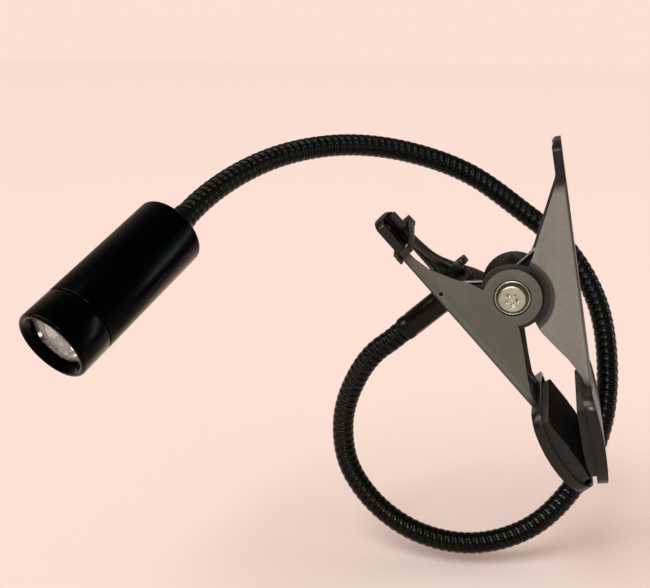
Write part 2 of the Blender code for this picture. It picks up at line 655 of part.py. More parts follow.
def make_ties(frame):
    floor = -ROOT_WEB
    half = ARM_WIDTH / 2 + 0.0009
    handle_tie = strap("handle_tie", 0.0010, half, 0.0027, 0.0025, 0.0009,
                       (half + 0.0003, half + 0.0040, -0.0006, 0.0034, 0.0036),
                       (-half - 0.0044, -half - 0.0002, -0.0022, -0.0012, 0.0025))
    handle_tie.data.transform(Matrix.Translation((-0.0370, 0.0, floor + 0.0022))
                              @ Matrix.Rotation(math.radians(102), 4, "Z"))
    hang(handle_tie, frame)
    cheek_tie = strap("cheek_tie", 0.0009, 0.0023, 0.0060, 0.0024, 0.0009,
                      (-0.0062, -0.0028, 0.0015, 0.0050, 0.0032),
                      (-0.0056, -0.0046, 0.0002, 0.0016, 0.0024))
    cheek_tie.data.transform(Matrix.Translation((-0.0176, 0.0090, floor + 0.0055))
                             @ Matrix.Rotation(math.radians(90), 4, "Z"))
    hang(cheek_tie, frame)


# ---------------------------------------------------------------- assembly

root_frame = arm_frame("root_arm_frame", ROOT_ARM_TILT, False)
moving_frame = arm_frame("moving_arm_frame", MOVING_ARM_TILT, True)
make_root_arm(root_frame)
make_moving_arm(moving_frame)
make_pad("root_pad", ROOT_WEB, 0.0030, 0.0042, 0.0040, 0.0028, 0.0009, root_frame)
make_pad("moving_pad", MOVING_WEB, 0.0012, 0.0012, 0.0060, 0.0053, 0.0040, moving_frame)
make_pin()
make_bush("near_bush", -1)
make_bush("far_bush", 1)
make_spring(root_frame, moving_frame)

neck_base = root_frame.matrix_world @ Vector((BASE_U, 0.0, -ROOT_WEB))
neck_outward = -(root_frame.matrix_world.to_3x3() @ Vector((0.0, 0.0, 1.0)))
make_base(neck_base, neck_outward)
make_neck(neck_base, neck_outward)
make_head()
make_lead(root_frame)
make_ties(root_frame)
bpy.context.view_layer.update()
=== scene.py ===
import math

import bmesh
import bpy
from mathutils import Matrix, Vector, noise


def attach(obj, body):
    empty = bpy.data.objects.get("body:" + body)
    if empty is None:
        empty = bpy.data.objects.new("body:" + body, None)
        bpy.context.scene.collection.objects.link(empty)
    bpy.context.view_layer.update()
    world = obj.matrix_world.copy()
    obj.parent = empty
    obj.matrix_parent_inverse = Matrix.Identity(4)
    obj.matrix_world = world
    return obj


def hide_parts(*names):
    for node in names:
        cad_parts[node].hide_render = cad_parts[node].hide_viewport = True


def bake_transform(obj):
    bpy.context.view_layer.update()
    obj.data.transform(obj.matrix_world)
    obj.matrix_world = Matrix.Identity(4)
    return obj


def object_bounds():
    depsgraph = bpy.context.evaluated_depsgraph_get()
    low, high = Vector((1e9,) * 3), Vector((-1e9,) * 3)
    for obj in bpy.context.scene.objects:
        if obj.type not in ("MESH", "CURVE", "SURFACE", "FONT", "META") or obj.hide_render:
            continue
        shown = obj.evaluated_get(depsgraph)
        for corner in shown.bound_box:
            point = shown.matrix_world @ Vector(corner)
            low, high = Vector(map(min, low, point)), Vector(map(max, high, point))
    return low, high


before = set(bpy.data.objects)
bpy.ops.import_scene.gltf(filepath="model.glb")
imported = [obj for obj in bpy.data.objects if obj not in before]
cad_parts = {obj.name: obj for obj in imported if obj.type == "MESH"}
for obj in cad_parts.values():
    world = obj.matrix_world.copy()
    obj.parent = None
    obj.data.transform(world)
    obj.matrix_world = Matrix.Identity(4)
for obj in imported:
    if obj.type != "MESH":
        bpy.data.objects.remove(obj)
cad_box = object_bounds()


# ---------------------------------------------------------------- camera, floor and light
# A small product table: pale blush paper in broad window light from the left, an even sky, and three
# small lamps that only gleam in the gloss. The floor lies just under the gooseneck's loop.


def paint(hex_colour):
    """An sRGB hex colour as the linear RGBA that Blender's sockets take."""
    channels = [int(hex_colour[place:place + 2], 16) / 255 for place in (1, 3, 5)]
    return [(c / 12.92 if c <= 0.04045 else ((c + 0.055) / 1.055) ** 2.4) for c in channels] + [1.0]


def add_node(material, kind, links=None, **settings):
    """Add one node: settings are its properties, links its inputs as a value or another node's output."""
    node = material.node_tree.nodes.new(kind)
    for name, value in settings.items():
        setattr(node, name, value)
    for name, value in (links or {}).items():
        if isinstance(value, bpy.types.NodeSocket):
            material.node_tree.links.new(value, node.inputs[name])
        else:
            node.inputs[name].default_value = value
    return node


def new_material(name, **finish):
    """A material with its shader and the constants set on the shader's own sockets."""
    material = bpy.data.materials.new(name)
    material.use_nodes = True
    shader = material.node_tree.nodes["Principled BSDF"]
    for socket, value in finish.items():
        shader.inputs[socket.replace("_", " ")].default_value = value
    return material, shader


view = bpy.context.scene.view_settings
view.view_transform = "Standard"

lens = bpy.data.cameras.new("camera")
lens.lens = 49.07
lens.sensor_width = 36.0
lens.clip_start = 0.01
camera = bpy.data.objects.new("camera", lens)
camera.location = (-0.0192, -0.2973, 0.1373)
camera.rotation_euler = (math.radians(73.7), 0.0, math.radians(14.0))
bpy.context.scene.collection.objects.link(camera)
bpy.context.scene.camera = camera

SKY = "#FBE0D5"
sky = bpy.data.worlds.new("blush_studio")
sky.use_nodes = True
backdrop = sky.node_tree.nodes["Background"]
backdrop.inputs["Color"].default_value = paint(SKY)
# mirrored in the gloss the room is dark, as it is round a product table
rays = add_node(sky, "ShaderNodeLightPath")
room = add_node(sky, "ShaderNodeMapRange", {"Value": rays.outputs["Is Glossy Ray"],
                                            "To Min": 1.0, "To Max": 0.30})
sky.node_tree.links.new(room.outputs["Result"], backdrop.inputs["Strength"])
bpy.context.scene.world = sky

paper, paper_shader = new_material("blush_seamless_paper", Roughness=0.95)
paper_place = add_node(paper, "ShaderNodeTexCoord")
FIBRE = 0.004                                # mottling of the paper, metres
paper_noise = add_node(paper, "ShaderNodeTexNoise", {"Vector": paper_place.outputs["Object"],
                                                     "Scale": 1 / FIBRE, "Detail": 3.0})
paper_mix = add_node(paper, "ShaderNodeMix", {"Factor": paper_noise.outputs["Fac"]}, data_type="RGBA")
paper_mix.inputs["A"].default_value = paint("#DAD0CB")
paper_mix.inputs["B"].default_value = paint("#DCD2CD")
paper.node_tree.links.new(paper_mix.outputs["Result"], paper_shader.inputs["Base Color"])

FLOOR = cad_box[0].z - 0.004
floor_shape = bmesh.new()
bmesh.ops.create_grid(floor_shape, x_segments=4, y_segments=4, size=6.0,
                      matrix=Matrix.Translation((0.0, 0.0, FLOOR)))
floor_mesh = bpy.data.meshes.new("paper_floor")
floor_shape.to_mesh(floor_mesh)
floor_shape.free()
floor_mesh.materials.append(paper)
floor = bpy.data.objects.new("paper_floor", floor_mesh)
bpy.context.scene.collection.objects.link(floor)

# name, place, aimed at, width, height, watts, colour
LAMPS = [("camera_side_softbox", (-0.05, -0.62, 0.36), (-0.04, 0.0, 0.05), 0.07, 0.07, 1.9, "#FFF9F2"),
         ("left_softbox", (-0.60, -0.25, 0.50), (-0.05, 0.0, 0.05), 0.30, 0.30, 2.0, "#FFF8F0"),
         ("right_strip", (0.55, 0.15, 0.10), (-0.05, 0.0, 0.05), 0.05, 0.50, 1.2, "#F2FFF4")]
for name, place, target, wide, tall, watts, colour in LAMPS:
    light = bpy.data.lights.new(name, "AREA")
    light.shape = "RECTANGLE"
    light.size = wide
    light.size_y = tall
    light.energy = watts
    light.color = paint(colour)[:3]
    holder = bpy.data.objects.new(name, light)
    holder.location = place
    holder.rotation_euler = (Vector(place) - Vector(target)).to_track_quat("Z", "Y").to_euler()
    bpy.context.scene.collection.objects.link(holder)
    # these three only gleam in the gloss; the even light on the paper comes from the window and sky
    holder.visible_diffuse = False

window = bpy.data.lights.new("window_light", "SUN")
window.energy = 1.70
window.angle = math.radians(35.0)
window.color = (1.0, 1.0, 1.0)
holder = bpy.data.objects.new("window_light", window)
holder.rotation_euler = Vector((-0.55, -0.75, 1.35)).to_track_quat("Z", "Y").to_euler()
bpy.context.scene.collection.objects.link(holder)


# ---------------------------------------------------------------- pressed steel arms
# Each arm is one blank of 1 mm mild steel, pressed into a channel with a turned-up jaw plate, then
# satin powder coated. Black is painted into the coat inside the channel, on the jaw, on the finger end
# and round the moving arm's boss step: painted shade where these fall dark in the light.

PIVOT = Vector((-0.027, 0.0, 0.054))
ROOT_TILT, MOVING_TILT = math.radians(47.1), math.radians(78.7)
ROOT_WEB, MOVING_WEB = 0.0197, 0.0217


def arm_place(tilt, mirrored):
    """From an arm's own axes, X to the jaw and Z from the web to the pivot, to the row frame."""
    along = Vector((math.cos(tilt), 0.0, -math.sin(tilt)))
    inward = Vector((math.sin(tilt), 0.0, math.cos(tilt)))
    side = Vector((0.0, 1.0, 0.0))
    if mirrored:
        inward, side = -inward, -side
    return Matrix.Translation(PIVOT) @ Matrix((along, side, inward)).transposed().to_4x4()


ROOT_PLACE = arm_place(ROOT_TILT, False)
MOVING_PLACE = arm_place(MOVING_TILT, True)


def copy_of(node, weld=0.000002):
    """A CAD node's mesh as one welded shape with its flat faces whole."""
    shape = bmesh.new()
    shape.from_mesh(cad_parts[node].data)
    bmesh.ops.remove_doubles(shape, verts=shape.verts, dist=weld)
    bmesh.ops.dissolve_limit(shape, angle_limit=math.radians(1.0), verts=shape.verts, edges=shape.edges)
    return shape


def round_edges(shape, width, segments=2, sharper=35.0):
    """Break every edge sharper than an angle in degrees."""
    edges = [edge for edge in shape.edges
             if edge.is_manifold and math.degrees(edge.calc_face_angle(0.0)) > sharper]
    bmesh.ops.bevel(shape, geom=edges, offset=width, segments=segments, affect="EDGES",
                    profile=0.5, material=-1, clamp_overlap=True)
    return shape


def finish_piece(name, shape, material, body, nodes=(), place=None, sharp=32.0, ride=True):
    """Turn a shape into a piece: keep its own coordinates for the finish, place it and let it ride."""
    own = shape.verts.layers.float_vector.get("own") or shape.verts.layers.float_vector.new("own")
    for vert in shape.verts:
        if vert[own].length == 0.0:
            vert[own] = vert.co
    if place is not None:
        bmesh.ops.transform(shape, matrix=place, verts=shape.verts)
    mesh = bpy.data.meshes.new(name)
    shape.to_mesh(mesh)
    shape.free()
    mesh.materials.append(material)
    mesh.shade_smooth()
    mesh.set_sharp_from_angle(angle=math.radians(sharp))
    thing = bpy.data.objects.new(name, mesh)
    bpy.context.scene.collection.objects.link(thing)
    if ride:
        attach(thing, body)
    if nodes:
        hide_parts(*nodes)
    return thing


JAW_PAINTED_SHADE = (0.0285, 0.0345)                 # along the arm: painted shade darkens the coat to black over this stretch
# painted shade: the coat darkens to black over this stretch of the finger end
FINGER_PAINTED_SHADE = (-0.0315, -0.0360)
SHEET_FACE = 0.0110                          # half the arm's width
STEP_SHADE_IN, STEP_SHADE_OUT = 0.0114, 0.0140           # radii of the ring of painted shade on the pressed step round the moving arm's boss


def powder_coat(name, light_tone, dark_tone, black, web, inside_painted_shade, step_painted_shade):
    """Satin polyester powder coat: a fine orange peel, slight mottling, and painted shade in black on the
    jaw, finger end, channel and boss step.
    """
    material, shader = new_material(name, Metallic=0.0, IOR=1.5, Specular_IOR_Level=0.35)
    own = add_node(material, "ShaderNodeAttribute", attribute_name="own")
    axes = add_node(material, "ShaderNodeSeparateXYZ", {"Vector": own.outputs["Vector"]})
    across = add_node(material, "ShaderNodeMath", {0: axes.outputs["Y"]}, operation="ABSOLUTE")
    flat = add_node(material, "ShaderNodeVectorMath", {0: own.outputs["Vector"], 1: (1.0, 0.0, 1.0)},
                    operation="MULTIPLY")
    from_pivot = add_node(material, "ShaderNodeVectorMath", {0: flat.outputs["Vector"]}, operation="LENGTH")
    zones = [(axes.outputs["X"], *JAW_PAINTED_SHADE, 1.0),
             (axes.outputs["X"], *FINGER_PAINTED_SHADE, 1.0),
             # painted shade: dark along the inside of the web and on the inner faces of the cheeks, where
             # the channel lies in shadow
             (axes.outputs["Z"], -web + 0.0012, -web + 0.0002, 0.9),
             (across.outputs["Value"], SHEET_FACE - 0.0003, SHEET_FACE - 0.0008, inside_painted_shade)]
    shade_so_far = None
    for source, low, high, most in zones:
        share = add_node(material, "ShaderNodeMapRange",
                         {"Value": source, "From Min": low, "From Max": high, "To Max": most},
                         interpolation_type="SMOOTHSTEP")
        if shade_so_far is None:
            shade_so_far = share.outputs["Result"]
        else:
            shade_so_far = add_node(material, "ShaderNodeMath", {0: shade_so_far, 1: share.outputs["Result"]},
                            operation="MAXIMUM").outputs["Value"]
    # painted shade: a dark ring round the moving arm's boss, where the slope of the pressed step falls into
    # shadow
    rise = add_node(material, "ShaderNodeMapRange",
                    {"Value": from_pivot.outputs["Value"], "From Min": STEP_SHADE_IN,
                     "From Max": STEP_SHADE_IN + 0.0004, "To Max": step_painted_shade})
    fall = add_node(material, "ShaderNodeMapRange",
                    {"Value": from_pivot.outputs["Value"], "From Min": STEP_SHADE_OUT,
                     "From Max": STEP_SHADE_OUT - 0.0006})
    step = add_node(material, "ShaderNodeMath", {0: rise.outputs["Result"], 1: fall.outputs["Result"]},
                    operation="MULTIPLY")
    painted_shade = add_node(material, "ShaderNodeMath", {0: shade_so_far, 1: step.outputs["Value"]}, operation="MAXIMUM")
    mottle = add_node(material, "ShaderNodeTexNoise", {"Vector": own.outputs["Vector"],
                                                       "Scale": 1 / 0.005, "Detail": 5.0, "Roughness": 0.6})
    grain = add_node(material, "ShaderNodeTexNoise", {"Vector": own.outputs["Vector"],
                                                      "Scale": 1 / 0.00035, "Detail": 2.0})
    tone = add_node(material, "ShaderNodeMix", {"Factor": mottle.outputs["Fac"]}, data_type="RGBA")
    tone.inputs["A"].default_value = paint(dark_tone)
    tone.inputs["B"].default_value = paint(light_tone)
    speck = add_node(material, "ShaderNodeMapRange", {"Value": grain.outputs["Fac"], "From Min": 0.25,
                                                      "From Max": 0.75, "To Min": 0.88, "To Max": 1.12})
    grained = add_node(material, "ShaderNodeVectorMath",
                       {0: tone.outputs["Result"], "Scale": speck.outputs["Result"]}, operation="SCALE")
    # mixes in the painted shade: black on the jaw, the finger end, inside the channel and on the boss step
    ended = add_node(material, "ShaderNodeMix", {"Factor": painted_shade.outputs["Value"]}, data_type="RGBA")
    material.node_tree.links.new(grained.outputs["Vector"], ended.inputs["A"])
    ended.inputs["B"].default_value = paint(black)
    gloss = add_node(material, "ShaderNodeMapRange", {"Value": painted_shade.outputs["Value"],
                                                      "To Min": 0.50, "To Max": 0.30})
    peel = add_node(material, "ShaderNodeBump", {"Height": grain.outputs["Fac"], "Strength": 0.25,
                                                 "Distance": 0.00003})
    for source, target in ((ended.outputs["Result"], "Base Color"), (gloss.outputs["Result"], "Roughness"),
                           (peel.outputs["Normal"], "Normal")):
        material.node_tree.links.new(source, shader.inputs[target])
    return material


def make_arm(node, name, place, material, body):
    shape = round_edges(copy_of(node), 0.00014)
    bmesh.ops.transform(shape, matrix=place.inverted(), verts=shape.verts)
    return finish_piece(name, shape, material, body, (node,), place)


# One coat in two tones: the root arm's darker copy is painted shade and the moving arm's lighter copy is
# painted light, for their cheeks face the same way; the moving arm also gets more painted shade inside and
# on its boss step.
root_paint_shaded = powder_coat("satin_powder_coat_root_shaded", "#565950", "#4B4F47", "#060606",
                         ROOT_WEB, 0.75, 0.0)
moving_paint_lit = powder_coat("satin_powder_coat_moving_lit", "#7C7C76", "#70726C", "#060606",
                           MOVING_WEB, 0.95, 0.8)
make_arm("root_arm", "root_arm_pressing", ROOT_PLACE, root_paint_shaded, "root_clip")
make_arm("moving_arm", "moving_arm_pressing", MOVING_PLACE, moving_paint_lit, "moving_clip")


# ---------------------------------------------------------------- jaw pads
# Closed-cell EVA foam, die cut from sheet with a black skin and glued into each jaw plate. The cut
# sides show the open cells; the skinned face is matt black and slightly crowned.

def foam_material():
    material, shader = new_material("die_cut_eva_foam", Roughness=0.95, Specular_IOR_Level=0.2,
                                    Sheen_Weight=0.25, Sheen_Roughness=0.5)
    own = add_node(material, "ShaderNodeAttribute", attribute_name="own")
    cells = add_node(material, "ShaderNodeTexVoronoi", {"Vector": own.outputs["Vector"],
                                                        "Scale": 1 / 0.0005})
    patches = add_node(material, "ShaderNodeTexNoise", {"Vector": own.outputs["Vector"],
                                                        "Scale": 1 / 0.003, "Detail": 4.0})
    ramp = add_node(material, "ShaderNodeMapRange", {"Value": cells.outputs["Distance"], "From Max": 0.6,
                                                     "To Min": 0.15, "To Max": 1.0})
    both = add_node(material, "ShaderNodeMath", {0: ramp.outputs["Result"], 1: patches.outputs["Fac"]},
                    operation="MULTIPLY")
    tone = add_node(material, "ShaderNodeMix", {"Factor": both.outputs["Value"]}, data_type="RGBA")
    tone.inputs["A"].default_value = paint("#0B0A09")
    tone.inputs["B"].default_value = paint("#2C2B27")
    pit = add_node(material, "ShaderNodeBump", {"Height": cells.outputs["Distance"], "Strength": 0.6,
                                                "Distance": 0.0002})
    material.node_tree.links.new(tone.outputs["Result"], shader.inputs["Base Color"])
    material.node_tree.links.new(pit.outputs["Normal"], shader.inputs["Normal"])
    return material


def skin_material():
    material, shader = new_material("black_foam_skin", Roughness=0.85, Specular_IOR_Level=0.15)
    own = add_node(material, "ShaderNodeAttribute", attribute_name="own")
    pebble = add_node(material, "ShaderNodeTexNoise", {"Vector": own.outputs["Vector"],
                                                       "Scale": 1 / 0.0004, "Detail": 2.0})
    tone = add_node(material, "ShaderNodeMix", {"Factor": pebble.outputs["Fac"]}, data_type="RGBA")
    tone.inputs["A"].default_value = paint("#040404")
    tone.inputs["B"].default_value = paint("#0E0D0C")
    bump = add_node(material, "ShaderNodeBump", {"Height": pebble.outputs["Fac"], "Strength": 0.4,
                                                 "Distance": 0.00008})
    material.node_tree.links.new(tone.outputs["Result"], shader.inputs["Base Color"])
    material.node_tree.links.new(bump.outputs["Normal"], shader.inputs["Normal"])
    return material


foam = foam_material()
skin = skin_material()
PAD_VOXEL = 0.00045


def make_pad(node, name, place, body):
    """Remesh the block finely, relax it so that its edges swell round, and pit its cut sides."""
    shape = copy_of(node)
    bmesh.ops.transform(shape, matrix=place.inverted(), verts=shape.verts)
    block = bpy.data.meshes.new(name)
    shape.to_mesh(block)
    shape.free()
    rough = bpy.data.objects.new(name + "_blank", block)
    bpy.context.scene.collection.objects.link(rough)
    remesh = rough.modifiers.new("cells", "REMESH")
    remesh.mode = "VOXEL"
    remesh.voxel_size = PAD_VOXEL
    relax = rough.modifiers.new("relax", "SMOOTH")
    relax.factor = 0.5
    relax.iterations = 5
    bpy.context.view_layer.update()
    swollen = bpy.data.meshes.new_from_object(rough.evaluated_get(bpy.context.evaluated_depsgraph_get()))
    bpy.data.objects.remove(rough, do_unlink=True)
    shape = bmesh.new()
    shape.from_mesh(swollen)
    shape.normal_update()
    for vert in shape.verts:
        pit = 0.5 * noise.noise(vert.co / 0.0009) + 0.5 * noise.noise(vert.co / 0.004)
        vert.co += vert.normal * (0.00008 * pit - 0.00004)
    for face in shape.faces:
        face.material_index = 1 if face.normal.z > 0.55 else 0
    pad = finish_piece(name, shape, foam, body, (node,), place, 60.0)
    pad.data.materials.append(skin)
    return pad


make_pad("root_pad", "root_jaw_pad", ROOT_PLACE, "root_clip")
make_pad("moving_pad", "moving_jaw_pad", MOVING_PLACE, "moving_clip")


# ---------------------------------------------------------------- pivot
# A zinc plated, yellow passivated rivet turns in two flanged bushes. Its near end is set with a
# five-pointed punch, which leaves a star of small pits in a bright ring.

def turned_shape(profile, sides=96, closed=True):
    """Spin a line of (radius, height) points about Z; a closed profile gives a ring."""
    shape = bmesh.new()
    line = [shape.verts.new((radius, 0.0, height)) for radius, height in profile]
    pairs = list(zip(line, line[1:])) + ([(line[-1], line[0])] if closed else [])
    for first, second in pairs:
        shape.edges.new((first, second))
    bmesh.ops.spin(shape, geom=shape.verts[:] + shape.edges[:], cent=(0, 0, 0), axis=(0, 0, 1),
                   angle=2 * math.pi, steps=sides, use_merge=True)
    bmesh.ops.remove_doubles(shape, verts=shape.verts, dist=0.000001)
    bmesh.ops.recalc_face_normals(shape, faces=shape.faces)
    return shape


def zinc_material():
    """Yellow chromate over zinc: greenish and gold clouds on a fine tumbled surface."""
    material, shader = new_material("yellow_passivated_zinc", Metallic=1.0)
    own = add_node(material, "ShaderNodeAttribute", attribute_name="own")
    clouds = add_node(material, "ShaderNodeTexNoise", {"Vector": own.outputs["Vector"],
                                                       "Scale": 1 / 0.0025, "Detail": 4.0})
    tumbled = add_node(material, "ShaderNodeTexNoise", {"Vector": own.outputs["Vector"],
                                                        "Scale": 1 / 0.00025, "Detail": 3.0})
    tone = add_node(material, "ShaderNodeMix", {"Factor": clouds.outputs["Fac"]}, data_type="RGBA")
    tone.inputs["A"].default_value = paint("#8B9580")
    tone.inputs["B"].default_value = paint("#CFCFBC")
    gloss = add_node(material, "ShaderNodeMapRange", {"Value": tumbled.outputs["Fac"],
                                                      "To Min": 0.22, "To Max": 0.48})
    bump = add_node(material, "ShaderNodeBump", {"Height": tumbled.outputs["Fac"], "Strength": 0.35,
                                                 "Distance": 0.00004})
    for source, target in ((tone.outputs["Result"], "Base Color"), (gloss.outputs["Result"], "Roughness"),
                           (bump.outputs["Normal"], "Normal")):
        material.node_tree.links.new(source, shader.inputs[target])
    return material


zinc = zinc_material()
PIN_RADIUS, RIVET_RADIUS, RIVET_SEAT, RIVET_FACE = 0.0028, 0.00445, 0.0111, 0.0124
STAR_RADIUS, STAR_POINTS, STAR_DEPTH = 0.00175, 5, 0.00085
TURN_TO_NEAR = Matrix.Translation(PIVOT) @ Matrix.Rotation(math.radians(90), 4, "X")   # +Z to the near side
TURN_TO_FAR = Matrix.Translation(PIVOT) @ Matrix.Rotation(math.radians(-90), 4, "X")

edge_round = [(RIVET_RADIUS - 0.0005 + 0.0005 * math.sin(math.radians(a)),
               RIVET_FACE - 0.0005 + 0.0005 * math.cos(math.radians(a))) for a in range(90, -1, -15)]
flat = [(RIVET_RADIUS - 0.0005 - 0.00018 * step, RIVET_FACE - 0.00001 * step)
        for step in range(1, 21)]
rivet_half = [(PIN_RADIUS, RIVET_SEAT), (RIVET_RADIUS, RIVET_SEAT)] + edge_round + flat
rivet_line = [(radius, -height) for radius, height in reversed(rivet_half)] + rivet_half
rivet_line = [(0.0, rivet_line[0][1])] + rivet_line + [(0.0, rivet_line[-1][1])]
rivet = turned_shape(rivet_line, 100, closed=False)
for vert in rivet.verts:
    radius = math.hypot(vert.co.x, vert.co.y)
    if abs(vert.co.z) > RIVET_FACE - 0.0004 and radius < RIVET_RADIUS - 0.0004:
        turn = math.atan2(vert.co.y, vert.co.x)
        petal = max(0.0, math.cos(STAR_POINTS * turn + 0.6)) ** 0.7
        ring = math.exp(-((radius - STAR_RADIUS) / 0.00055) ** 2)
        rim = 0.00012 * math.exp(-((radius - 0.0029) / 0.0006) ** 2)
        centre = 0.00018 * math.exp(-(radius / 0.0004) ** 2)
        vert.co.z -= math.copysign(STAR_DEPTH * petal * ring - rim + centre, vert.co.z)
finish_piece("pivot_rivet", rivet, zinc, "root_clip", ("pivot_pin",), TURN_TO_NEAR, 50.0)

BUSH_BORE, BUSH_BARREL, BUSH_FLANGE = 0.0031, 0.0050, 0.0059
BUSH_INNER, BUSH_STEP, BUSH_FACE = 0.0082, 0.00985, 0.01078
bush_line = [(BUSH_BORE, BUSH_INNER), (BUSH_BARREL, BUSH_INNER), (BUSH_BARREL, BUSH_STEP),
             (BUSH_FLANGE, BUSH_STEP), (BUSH_FLANGE, BUSH_FACE - 0.0003),
             (BUSH_FLANGE - 0.0001, BUSH_FACE - 0.0001),
             (BUSH_FLANGE - 0.0003, BUSH_FACE), (BUSH_FLANGE - 0.0005, BUSH_FACE - 0.00005),
             (0.0051, BUSH_FACE - 0.0006), (0.0047, BUSH_FACE - 0.0008), (BUSH_BORE, BUSH_FACE - 0.0008)]
for node, place in (("near_bush", TURN_TO_NEAR), ("far_bush", TURN_TO_FAR)):
    finish_piece(node + "_turned", turned_shape(bush_line), zinc, "root_clip", (node,), place)


# The torsion spring is five turns of 1.6 mm oiled wire round the rivet; its two legs lie on the
# insides of the webs and push the handles apart.

def smooth_route(knots, count, by_spacing=False):
    """Points along a smooth curve through the knots, evenly spaced, and the curve's length.

    With by_spacing the slope at a knot leans to its nearer neighbour, so a short last span stays calm.
    """
    ends = [2 * knots[0] - knots[1]] + list(knots) + [2 * knots[-1] - knots[-2]]
    fine = []
    for index in range(1, len(ends) - 2):
        a, b, c, d = ends[index - 1:index + 3]
        before, span, after = (b - a).length, (c - b).length, (d - c).length
        if not by_spacing:
            before = after = span
        leave = ((b - a) * span / before + (c - b) * before / span) * span / (before + span)
        arrive = ((c - b) * after / span + (d - c) * span / after) * span / (span + after)
        for step in range(40):
            t = step / 40
            fine.append(b + leave * t + (3 * (c - b) - 2 * leave - arrive) * t ** 2
                        + (leave + arrive - 2 * (c - b)) * t ** 3)
    fine.append(Vector(knots[-1]))
    lengths = [0.0]
    for first, second in zip(fine, fine[1:]):
        lengths.append(lengths[-1] + (second - first).length)
    points, index = [], 0
    for step in range(count + 1):
        target = lengths[-1] * step / count
        while index < len(fine) - 2 and lengths[index + 1] < target:
            index += 1
        share = (target - lengths[index]) / (lengths[index + 1] - lengths[index])
        points.append(fine[index].lerp(fine[index + 1], min(share, 1.0)))
    return points, lengths[-1]


def carried_frames(points):
    """A frame at each point, its Z along the route, turned as little as possible from one to the next."""
    frames = []
    across = None
    for index, point in enumerate(points):
        ahead = points[min(index + 1, len(points) - 1)] - points[max(index - 1, 0)]
        ahead.normalize()
        if across is None:
            across = ahead.orthogonal().normalized()
        across = (across - ahead * across.dot(ahead)).normalized()
        turn = Matrix((across, ahead.cross(across), ahead)).transposed().to_4x4()
        frames.append(Matrix.Translation(point) @ turn)
    return frames


def swept_shape(points, radius, sides=20):
    """A round bar: a circle drawn out along the route ring by ring, closed at both ends."""
    shape = bmesh.new()
    frames = carried_frames(points)
    first = bmesh.ops.create_circle(shape, cap_ends=True, segments=sides, radius=radius)["verts"]
    bmesh.ops.transform(shape, matrix=frames[0], verts=first)
    ring = [edge for edge in shape.edges]
    for before, after in zip(frames, frames[1:]):
        drawn = bmesh.ops.extrude_edge_only(shape, edges=ring)["geom"]
        ring = [part for part in drawn if isinstance(part, bmesh.types.BMEdge)]
        moved = [part for part in drawn if isinstance(part, bmesh.types.BMVert)]
        bmesh.ops.transform(shape, matrix=after @ before.inverted(), verts=moved)
    bmesh.ops.holes_fill(shape, edges=shape.edges, sides=0)
    bmesh.ops.recalc_face_normals(shape, faces=shape.faces)
    return shape


def dark_metal(name, dark, bright, rough_low, rough_high, grain, stretch=(1.0, 1.0, 1.0), bump=0.1):
    """A blackened metal: nearly black in itself, with tool or draw marks that break up its glints."""
    material, shader = new_material(name, Metallic=1.0)
    own = add_node(material, "ShaderNodeAttribute", attribute_name="own")
    marks = add_node(material, "ShaderNodeMapping", {"Vector": own.outputs["Vector"], "Scale": stretch})
    fine = add_node(material, "ShaderNodeTexNoise", {"Vector": marks.outputs["Vector"],
                                                     "Scale": 1 / grain, "Detail": 3.0})
    wide = add_node(material, "ShaderNodeTexNoise", {"Vector": own.outputs["Vector"],
                                                     "Scale": 1 / 0.008, "Detail": 3.0})
    tone = add_node(material, "ShaderNodeMix", {"Factor": wide.outputs["Fac"]}, data_type="RGBA")
    tone.inputs["A"].default_value = paint(dark)
    tone.inputs["B"].default_value = paint(bright)
    gloss = add_node(material, "ShaderNodeMapRange",
                     {"Value": fine.outputs["Fac"], "From Min": 0.3, "From Max": 0.7,
                      "To Min": rough_low, "To Max": rough_high})
    lines = add_node(material, "ShaderNodeBump", {"Height": fine.outputs["Fac"], "Strength": bump,
                                                  "Distance": 0.00001})
    for source, target in ((tone.outputs["Result"], "Base Color"), (gloss.outputs["Result"], "Roughness"),
                           (lines.outputs["Normal"], "Normal")):
        material.node_tree.links.new(source, shader.inputs[target])
    return material


spring_steel = dark_metal("oiled_spring_wire", "#4A4B4D", "#6A6A6B", 0.25, 0.45, 0.0004)
WIRE, COIL, TURNS, COIL_HALF = 0.0008, 0.0046, 5.25, 0.0058
feet = [place @ Vector((-0.0190, -COIL_HALF, -web + 0.0010 + WIRE + 0.0003))
        for place, web in ((ROOT_PLACE, ROOT_WEB), (MOVING_PLACE, MOVING_WEB))]
start = math.atan2(feet[0].z - PIVOT.z, feet[0].x - PIVOT.x) - math.radians(75)
sweep = math.atan2(feet[1].z - PIVOT.z, feet[1].x - PIVOT.x) + math.radians(75) - start
while sweep > -TURNS * 2 * math.pi:
    sweep -= 2 * math.pi
coil_start = PIVOT + Vector((COIL * math.cos(start), -COIL_HALF, COIL * math.sin(start)))
coil_route = [feet[0].lerp(coil_start, s / 6) for s in range(6)]
for step in range(181):
    angle = start + sweep * step / 180
    coil_route.append(PIVOT + Vector((COIL * math.cos(angle), -COIL_HALF + 2 * COIL_HALF * step / 180,
                                      COIL * math.sin(angle))))
coil_route += [coil_route[-1].lerp(feet[1], s / 6) for s in range(1, 7)]
spring = finish_piece("wound_torsion_spring", swept_shape(coil_route, WIRE, 12), spring_steel, None,
                      ("torsion_spring",), ride=False)
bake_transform(spring)


# ---------------------------------------------------------------- gooseneck and its base
# Flexible steel arm: a round spring wire wound with a wedge wire in its gap, blackened, so that each
# turn shows a broad rounded crest and a fine second line. It is screwed into a crimped ferrule.

